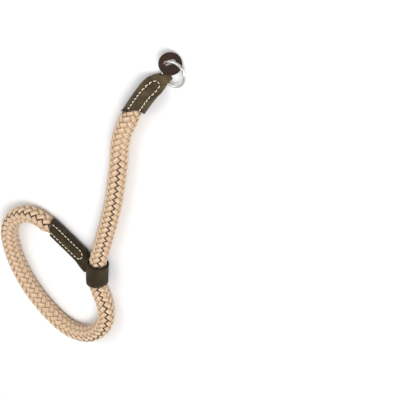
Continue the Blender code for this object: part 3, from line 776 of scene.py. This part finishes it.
def leather_finish(name, tones):
    """Oiled leather: fine pores, cloudy tone, painted shade in the seams, and other tones where it was cut or
    bent.
    """
    material, sheet, shader = new_finish(name, specular=0.2)
    place = sheet.place()
    clouds = sheet.noise(place, CLOUD_SCALE, 4.0)
    streaks = sheet.noise(place, STREAK_SCALE, 3.0)
    grain = sheet.noise(place, GRAIN_SCALE, 2.0)
    pores = sheet.node(
        "ShaderNodeTexVoronoi", {"feature": "DISTANCE_TO_EDGE"}, {"Vector": place, "Scale": PORE_SCALE},
    )
    crease_shade, cut, tip = sheet.painted("crease_shade"), sheet.painted("cut_edge"), sheet.painted("tip")
    colour = sheet.mix(clouds.between(0.38, 0.68), tones.base, tones.worn)
    colour = sheet.mix(streaks.between(0.52, 0.75) * 0.35, colour, tones.dark)
    colour = sheet.mix(tip * 0.8, colour, tones.tip)
    # Painted shade in the seam grooves and stitch holes
    colour = sheet.mix(crease_shade * 0.85, colour, tones.dark)
    # Cut edges in the raw tone, which on the ring end is partly painted shade
    colour = sheet.mix(cut * 0.85, colour, tones.raw)
    rough = 0.46 + clouds * 0.16 + cut * 0.2 + crease_shade * 0.12
    relief = pores.between(0.0, 0.22) * 0.7 + grain * 0.3
    feed(sheet, shader, base_color=colour, roughness=rough, normal=sheet.bump(relief, 0.35, 0.00022))
    return material


ring_end_skin = sleeve("ring_end_blank", RING_END, 0.0, RING_CORD_START - TOUCHING_GAP)
ring_end_blank = show("ring_end_blank", ring_end_skin)
eye_line = section_point(RING_END, np.array([TIP_HALF_HEIGHT]), np.array([0.0]), np.array([0.0]))[0][0]
joints = {joint["name"]: joint for joint in frame["joints"]}
swing, slide = joints["ring_swing"], joints["guard_slide"]
eye = bmesh.new()
bmesh.ops.create_cone(
    eye, cap_ends=True, segments=EYE_SIDES, radius1=EYE_RADIUS, radius2=EYE_RADIUS, depth=4 * TONGUE_WIDTH,
)
eye_turn = Vector((0, 0, 1)).rotation_difference(Vector(swing["axis"])).to_matrix().to_4x4()
bmesh.ops.transform(eye, matrix=Matrix.Translation(eye_line) @ eye_turn, verts=eye.verts)
eye_mesh = bpy.data.meshes.new("ring_eye")
eye.to_mesh(eye_mesh)
eye.free()
carve(ring_end_blank, eye_mesh, "ring_eye")
ring_leather = soften(ring_end_blank, "ring_leather")
dress(ring_leather, RING_END)
ring_leather.data.materials.append(leather_finish("olive_leather", OLIVE_LEATHER))
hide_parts("ring_end_leather")
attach(ring_leather, "strap")

# The loop-end leather and its keeper band
# One strip of the same leather. Its middle is a round band that slides on the standing cord, and its two
# ends are laid over the loop's cord as one sleeve and sewn through.
NECK_HALF_HEIGHT = 0.0039
NECK_HALF_WIDTH = 0.0047
LOOP_ROLL = math.radians(-33)
NECK_ROLL = math.radians(-16)
# How near a leather edge the painted shadow on the cord is full, and how far it reaches
RIM_SHADE = (0.0006, 0.0019)
DARK_OLIVE_LEATHER = SimpleNamespace(
    base=(0.025, 0.015, 0.005, 1), worn=(0.047, 0.029, 0.011, 1), dark=(0.008, 0.005, 0.002, 1),
    raw=(0.040, 0.015, 0.006, 1), tip=(0.028, 0.017, 0.006, 1),
)


def neck_share(s):
    """0 along the sewn sleeve and 1 where its leather meets the keeper band."""
    return ease(s, LOOP_CORD_END, AXIS_LENGTH - 2 * LEATHER_THICKNESS)


def loop_end_size(s, full, neck):
    size = full + (neck - full) * neck_share(s)
    return np.where(s < LOOP_CORD_END, over_cord(s, size), size)


def loop_end_height(s):
    """The sleeve lies on the floor and rises to the middle of the band."""
    low = LOOP_HALF - FLOOR_FLAT
    risen = low + (BAND_RADIUS - FLOOR_FLAT - low) * neck_share(s)
    return np.where(s >= LOOP_SWELL[1], risen, cord_height(s))


LOOP_END = SimpleNamespace(
    half_height=lambda s: loop_end_size(s, LOOP_HALF, NECK_HALF_HEIGHT),
    half_width=lambda s: loop_end_size(s, LOOP_HALF * SIDE_SPREAD, NECK_HALF_WIDTH),
    height=loop_end_height,
    roll=lambda s: LOOP_ROLL + (NECK_ROLL - LOOP_ROLL) * neck_share(s),
    mouth=LOOP_MOUTH, outward=-1, arch=0.0004, slant=LOOP_MOUTH_SLANT,
    row_offset=0.0025, row_end=LOOP_CORD_END - 0.0015, arc_length=0.0042,
)
STANDING = SimpleNamespace(height=cord_height, roll=lambda s: 0.0 * s)


def band_ring(s, radius, lowest):
    angles = 2 * math.pi * (np.arange(SKIN_SIDES) + 0.5) / SKIN_SIDES
    points, _ = section_point(STANDING, np.full(SKIN_SIDES, s), angles, np.full(SKIN_SIDES, radius))
    points[:, 2] = np.maximum(points[:, 2], lowest)
    return points


band_rings = [band_ring(s, BAND_RADIUS, 0.0) for s in stations(BAND_START, BAND_END, SKIN_STEP)]
loop_end_blank = show("loop_end_blank", loft("keeper_band", band_rings))
sleeve_mesh = sleeve("loop_sleeve", LOOP_END, AXIS_LENGTH, LOOP_CORD_END + TOUCHING_GAP)
carve(loop_end_blank, sleeve_mesh, "loop_sleeve", "UNION")
bore_places = stations(BAND_START - BAND_LENGTH / 2, BAND_END + BAND_LENGTH / 2, SKIN_STEP)
bore_rings = [band_ring(s, CORD_RADIUS + TOUCHING_GAP, -1.0) for s in bore_places]
carve(loop_end_blank, loft("band_bore", bore_rings), "band_bore")
loop_leather = soften(loop_end_blank, "loop_leather")
dress(loop_leather, LOOP_END)
loop_leather.data.materials.append(leather_finish("dark_olive_leather", DARK_OLIVE_LEATHER))
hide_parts("loop_end_leather")
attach(loop_leather, "strap")

# Painted shadow: the cord is darkened close to each leather mouth and to both edges of the keeper band, where
# the leather shades it
rims = [rim_points(RING_END, True), rim_points(LOOP_END, True)]
rim_angles = 2 * math.pi * np.arange(RIM_SIDES) / RIM_SIDES
for edge in (BAND_START, BAND_END):
    edges, reaches = np.full(RIM_SIDES, edge), np.full(RIM_SIDES, CORD_RADIUS)
    rims.append(section_point(STANDING, edges, rim_angles, reaches)[0])
from_rims = nearest(mesh_points(cord.data), np.concatenate(rims))
paint(cord.data, "shaded", 1 - ease(from_rims, *RIM_SHADE))

# The stitches
# Waxed ivory thread, sewn through leather and cord in one U on each face. Each stitch is a short bridge
# that dives into a hole at both its ends, on the face and on the back of each leather end.
STITCH_LENGTH = 0.00172
STITCH_RISE = 0.00038
STITCH_DIP = 0.00070
STITCH_LIE = 0.12
STITCH_STRETCH = (0.92, 1.05)
STITCH_SEED = 11
THREAD_RADIUS = 0.00030
THREAD_SIDES = 10
STITCH_SECTIONS = 10
CARRIER_STEP = 0.0004
CARRIER_MARGIN = 0.0012
CARRIER_SINK = 0.35 * GROOVE_DEPTH
PLY_TURNS = 22.0
PALE_THREAD = (0.84, 0.76, 0.58, 1)
PLY_THREAD = (0.60, 0.49, 0.32, 1)
SOILED_THREAD = (0.66, 0.55, 0.38, 1)
SOIL_SCALE = 700.0


def thread_finish():
    """Ivory waxed thread of two plies."""
    material, sheet, shader = new_finish("ivory_thread", specular=0.35, roughness=0.62)
    twist = (sheet.painted("along") * PLY_TURNS + sheet.painted("around") * 4 * math.pi).wave()
    soil = sheet.noise(sheet.place(), SOIL_SCALE)
    colour = sheet.mix(twist * 0.35, PALE_THREAD, PLY_THREAD)
    colour = sheet.mix(soil.between(0.45, 0.75) * 0.4, colour, SOILED_THREAD)
    feed(sheet, shader, base_color=colour, normal=sheet.bump(twist, 0.6, 0.0002))
    return material


sewing = Pattern("sewing")
stitch_pitch = sewing.given("Stitch pitch", "Float", STITCH_PITCH)
stitch_length = sewing.given("Stitch length", "Float", STITCH_LENGTH)
stitch_rise = sewing.given("Stitch rise", "Float", STITCH_RISE)
stitch_dip = sewing.given("Stitch dip", "Float", STITCH_DIP)
thread_radius = sewing.given("Thread radius", "Float", THREAD_RADIUS)
seed = sewing.given("Seed", "Int", STITCH_SEED)

rows = sewing.node("GeometryNodeMeshToCurve", {}, {"Mesh": sewing.geometry()})
spots = sewing.node("GeometryNodeResampleCurve", {"mode": "LENGTH"}, {"Curve": rows, "Length": stitch_pitch})
outward = sewing.node("GeometryNodeInputNamedAttribute", {"data_type": "FLOAT_VECTOR"}, {"Name": "outward"})
turned = sewing.node(
    "FunctionNodeAxesToRotation", {"primary_axis": "Z", "secondary_axis": "X"},
    {"Primary Axis": outward, "Secondary Axis": sewing.node("GeometryNodeInputTangent")},
)
lie = sewing.node(
    "FunctionNodeRandomValue", {"data_type": "FLOAT"}, {2: -STITCH_LIE, 3: STITCH_LIE, "Seed": seed}, 1,
)
lie = sewing.node("ShaderNodeCombineXYZ", {}, {"Z": lie})
turned = sewing.node(
    "FunctionNodeRotateRotation", {"rotation_space": "LOCAL"}, {"Rotation": turned, "Rotate By": lie},
)
shortest, longest = STITCH_STRETCH
stretch = sewing.node(
    "FunctionNodeRandomValue", {"data_type": "FLOAT"}, {2: shortest, 3: longest, "Seed": seed + 1.0}, 1,
)
size = sewing.node("ShaderNodeCombineXYZ", {}, {"X": stretch, "Y": 1.0, "Z": 1.0})
bridge = sewing.node(
    "GeometryNodeCurveQuadraticBezier", {},
    {
        "Resolution": STITCH_SECTIONS,
        "Start": sewing.node("ShaderNodeCombineXYZ", {}, {"X": stitch_length * -0.5, "Z": stitch_dip * -1.0}),
        "Middle": sewing.node("ShaderNodeCombineXYZ", {}, {"Z": stitch_rise * 2.0 + stitch_dip}),
        "End": sewing.node("ShaderNodeCombineXYZ", {}, {"X": stitch_length * 0.5, "Z": stitch_dip * -1.0}),
    },
)
bridge = sewing.label(bridge, "along", sewing.node("GeometryNodeSplineParameter"))
thread_ring = sewing.node(
    "GeometryNodeCurvePrimitiveCircle", {}, {"Resolution": THREAD_SIDES, "Radius": thread_radius},
)
thread_ring = sewing.label(thread_ring, "around", sewing.node("GeometryNodeSplineParameter"))
stitch = sewing.node(
    "GeometryNodeCurveToMesh", {}, {"Curve": bridge, "Profile Curve": thread_ring, "Fill Caps": True},
)
stitches = sewing.node(
    "GeometryNodeInstanceOnPoints", {},
    {"Points": spots, "Instance": stitch, "Rotation": turned, "Scale": size},
)
sewing.done([(stitches, thread_finish())])


def stitch_carrier(end):
    """The two seams of a leather end as bare lines of points, each with its way out of the leather."""
    points, outwards, edges = [], [], []
    for facing in FACINGS:
        row, out_of = stitch_row(end, facing, CARRIER_STEP, CARRIER_MARGIN, -CARRIER_SINK)
        row[:, 2] = np.maximum(row[:, 2], THREAD_RADIUS + STITCH_RISE)
        edges += [(len(points) + k, len(points) + k + 1) for k in range(len(row) - 1)]
        points += row.tolist()
        outwards += out_of.tolist()
    mesh = bpy.data.meshes.new("seams")
    mesh.from_pydata(points, edges, [])
    mesh.attributes.new("outward", "FLOAT_VECTOR", "POINT").data.foreach_set("vector", np.ravel(outwards))
    return show("seams", mesh)


for end, name in ((RING_END, "ring_end"), (LOOP_END, "loop_end")):
    sewn = sewing.applied_to(stitch_carrier(end), name + "_stitches")
    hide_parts(name + "_needle_thread", name + "_bobbin_thread")
    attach(sewn, "strap")

# The split ring
# Two flat turns of bright nickel-plated spring wire, wound side by side, which step across each other
# beside the wire's two ends. It is sprung open to thread it through the leather's eye.
RING_OUTER_DIAMETER = 0.0158
WIRE_WIDTH = 0.0012
WIRE_HEIGHT = 0.0008
TURN_GAP = 0.00008
WIRE_END_ANGLE = math.radians(13)
STEP_ANGLE = math.radians(11)
WIRE_STEP = math.radians(2.5)
WIRE_SIDES = 28
SHARP_EDGE = math.radians(60)
BRIGHT_NICKEL = (0.80, 0.78, 0.74, 1)
SMEARED_NICKEL = (0.62, 0.60, 0.56, 1)
WEAR_SCALE = 2400.0
SMEAR_SCALE = 300.0
RING_MEAN_RADIUS = (RING_OUTER_DIAMETER - WIRE_WIDTH) / 2


def wire_rings():
    """The wire's sections: flat-sided with soft corners, on the lower turn and then on the upper one."""
    half_pitch = (WIRE_HEIGHT + TURN_GAP) / 2
    turn = 2 * math.pi * (np.arange(WIRE_SIDES) + 0.5) / WIRE_SIDES
    across = np.abs(np.sin(turn) / (WIRE_WIDTH / 2)) ** SECTION_SQUARENESS
    upward = np.abs(np.cos(turn) / (WIRE_HEIGHT / 2)) ** SECTION_SQUARENESS
    reach = (across + upward) ** (-1 / SECTION_SQUARENESS)
    rings = []
    for angle in stations(WIRE_END_ANGLE, 4 * math.pi - WIRE_END_ANGLE, WIRE_STEP):
        climbed = float(ease(angle, 2 * math.pi - STEP_ANGLE, 2 * math.pi + STEP_ANGLE))
        height = half_pitch * (2 * climbed - 1) + reach * np.cos(turn)
        radial = RING_MEAN_RADIUS + reach * np.sin(turn)
        rings.append(np.stack([math.cos(angle) * radial, math.sin(angle) * radial, height], -1))
    return rings


def nickel_finish():
    """Bright plating with fine wear marks and faint smears."""
    material, sheet, shader = new_finish("nickel", metallic=1.0)
    place = sheet.place()
    wear = sheet.noise(place, WEAR_SCALE, 3.0)
    smears = sheet.noise(place, SMEAR_SCALE)
    colour = sheet.mix(smears.between(0.4, 0.7) * 0.5, BRIGHT_NICKEL, SMEARED_NICKEL)
    rough = 0.16 + smears * 0.2
    feed(sheet, shader, base_color=colour, roughness=rough, normal=sheet.bump(wear, 0.12, 0.0001))
    return material


ring_centre, ring_normal = Vector(slide["pos_m"]), Vector(slide["axis"])
ring_out = (ring_centre - Vector(swing["pos_m"])).normalized()
ring_side = ring_normal.cross(ring_out)
ring_turn = Matrix((ring_out, ring_side, ring_normal)).transposed().to_4x4()
ring_place = Matrix.Translation(ring_centre) @ ring_turn
ring_mesh = loft("split_ring_wire", wire_rings())
ring_mesh.transform(ring_place)
ring_mesh.shade_smooth()
ring_mesh.set_sharp_from_angle(angle=SHARP_EDGE)
ring_mesh.materials.append(nickel_finish())
key_ring = show("key_ring", ring_mesh)
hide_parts("split_ring")
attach(key_ring, "ring")

# The ring guard
# A punched disc of thick dark-brown leather with a slot near its middle. It is threaded on the split ring,
# so that the metal doesn't scratch what the strap hangs on, and slides round the ring.
GUARD_DIAMETER = 0.0130
GUARD_THICKNESS = 0.0013
GUARD_EDGE_ROUND = 0.0003
GUARD_SLOT_INSET = 0.0012
GUARD_SLOT_ROUNDING = 0.25
GUARD_LEAN = math.radians(34)
GUARD_TURN = math.radians(72)
GUARD_SIDES = 96
SLOT_CLEARANCE = 0.00035
SLOT_CORNER_STEPS = 6
EDGE_ROUND_STEPS = 4
GUARD_CUT_EDGE = (GUARD_DIAMETER / 2 - 0.0005, GUARD_DIAMETER / 2 - 0.0001)
BROWN_LEATHER = SimpleNamespace(
    base=(0.020, 0.0065, 0.0025, 1), worn=(0.036, 0.012, 0.005, 1), dark=(0.007, 0.003, 0.001, 1),
    raw=(0.050, 0.018, 0.008, 1), tip=(0.020, 0.0065, 0.0025, 1),
)


def guard_slot_mesh():
    """The slot, as long and wide as the leaning disc needs for the ring's two turns."""
    half_height = WIRE_HEIGHT + TURN_GAP / 2 + SLOT_CLEARANCE
    half_length = (half_height + GUARD_THICKNESS / 2 * math.cos(GUARD_LEAN)) / math.sin(GUARD_LEAN)
    along_wire = half_length * math.cos(GUARD_LEAN) + GUARD_THICKNESS * math.sin(GUARD_LEAN)
    outer = WIRE_WIDTH / 2 + SLOT_CLEARANCE
    left = -outer - (RING_MEAN_RADIUS - math.sqrt(RING_MEAN_RADIUS**2 - along_wire**2))
    rounding = (outer - left) * GUARD_SLOT_ROUNDING
    shape = bmesh.new()
    bmesh.ops.create_cube(shape, size=1.0)
    scale = Matrix.Diagonal((outer - left, 2 * half_length + rounding, 4 * GUARD_THICKNESS, 1))
    place = Matrix.Translation(((left + outer) / 2, 0, 0)) @ scale
    bmesh.ops.transform(shape, matrix=place, verts=shape.verts)
    upright = [e for e in shape.edges if abs(e.verts[0].co.z - e.verts[1].co.z) > GUARD_THICKNESS]
    bmesh.ops.bevel(shape, geom=upright, offset=rounding, segments=SLOT_CORNER_STEPS, affect="EDGES")
    mesh = bpy.data.meshes.new("guard_slot")
    shape.to_mesh(mesh)
    shape.free()
    return mesh


disc = bmesh.new()
bmesh.ops.create_cone(
    disc, cap_ends=True, segments=GUARD_SIDES, radius1=GUARD_DIAMETER / 2, radius2=GUARD_DIAMETER / 2,
    depth=GUARD_THICKNESS,
)
disc_rims = [e for e in disc.edges if abs(e.verts[0].co.z - e.verts[1].co.z) < GUARD_EDGE_ROUND]
bmesh.ops.bevel(
    disc, geom=disc_rims, offset=GUARD_EDGE_ROUND, segments=EDGE_ROUND_STEPS, profile=0.5, affect="EDGES",
)
bmesh.ops.translate(disc, vec=(-GUARD_SLOT_INSET, 0, 0), verts=disc.verts)
disc_mesh = bpy.data.meshes.new("guard_blank")
disc.to_mesh(disc_mesh)
disc.free()
guard_blank = show("guard_blank", disc_mesh)
carve(guard_blank, guard_slot_mesh(), "guard_slot")
guard_leather = soften(guard_blank, "guard_leather")
disc_points = mesh_points(guard_leather.data)
from_middle = np.hypot(disc_points[:, 0] + GUARD_SLOT_INSET, disc_points[:, 1])
paint(guard_leather.data, "cut_edge", ease(from_middle, *GUARD_CUT_EDGE))
for absent_mark in ("crease_shade", "tip"):
    paint(guard_leather.data, absent_mark, np.zeros(len(disc_points)))
guard_turn = Matrix.Rotation(GUARD_TURN, 4, "Z") @ Matrix.Translation((RING_MEAN_RADIUS, 0, 0))
guard_leather.data.transform(ring_place @ guard_turn @ Matrix.Rotation(GUARD_LEAN, 4, "X"))
guard_leather.data.materials.append(leather_finish("brown_leather", BROWN_LEATHER))
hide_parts("ring_guard")
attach(guard_leather, "guard")

# The floor and the light
# A broad pale sheet under the strap. A soft lamp lights it from above on the -X and -Y side, a wider and
# weaker one from the +X side, and a white sky fills the shadows.
FLOOR_SIZE = 3.0
FLOOR_TONE = (0.86, 0.86, 0.86, 1)
WORLD_TONE = (1, 1, 1, 1)
WORLD_STRENGTH = 0.55
LAMP_AIM = Vector((0.01, -0.04, 0.0))
# Each lamp's name, place, width and power in watts
LAMPS = (("key", (-0.5, -0.5, 0.9), 0.6, 9.0), ("fill", (0.7, 0.1, 0.8), 0.8, 4.0))

floor_mesh = bpy.data.meshes.new("floor")
half = FLOOR_SIZE / 2
corners = [(-half, -half, 0), (half, -half, 0), (half, half, 0), (-half, half, 0)]
floor_mesh.from_pydata(corners, [], [(0, 1, 2, 3)])
floor_mesh.materials.append(new_finish("pale_floor", base_color=FLOOR_TONE, roughness=0.9)[0])
floor = show("floor", floor_mesh)

world = bpy.data.worlds.new("studio")
world.use_nodes = True
sky = world.node_tree.nodes["Background"]
sky.inputs["Color"].default_value = WORLD_TONE
sky.inputs["Strength"].default_value = WORLD_STRENGTH
bpy.context.scene.world = world

for name, place, size, power in LAMPS:
    lamp_data = bpy.data.lights.new(name, "AREA")
    lamp_data.size = size
    lamp_data.energy = power
    lamp = show(name, lamp_data)
    lamp.location = place
    lamp.rotation_mode = "QUATERNION"
    lamp.rotation_quaternion = (LAMP_AIM - Vector(place)).to_track_quat("-Z", "Y")

bpy.context.scene.view_settings.view_transform = "Standard"
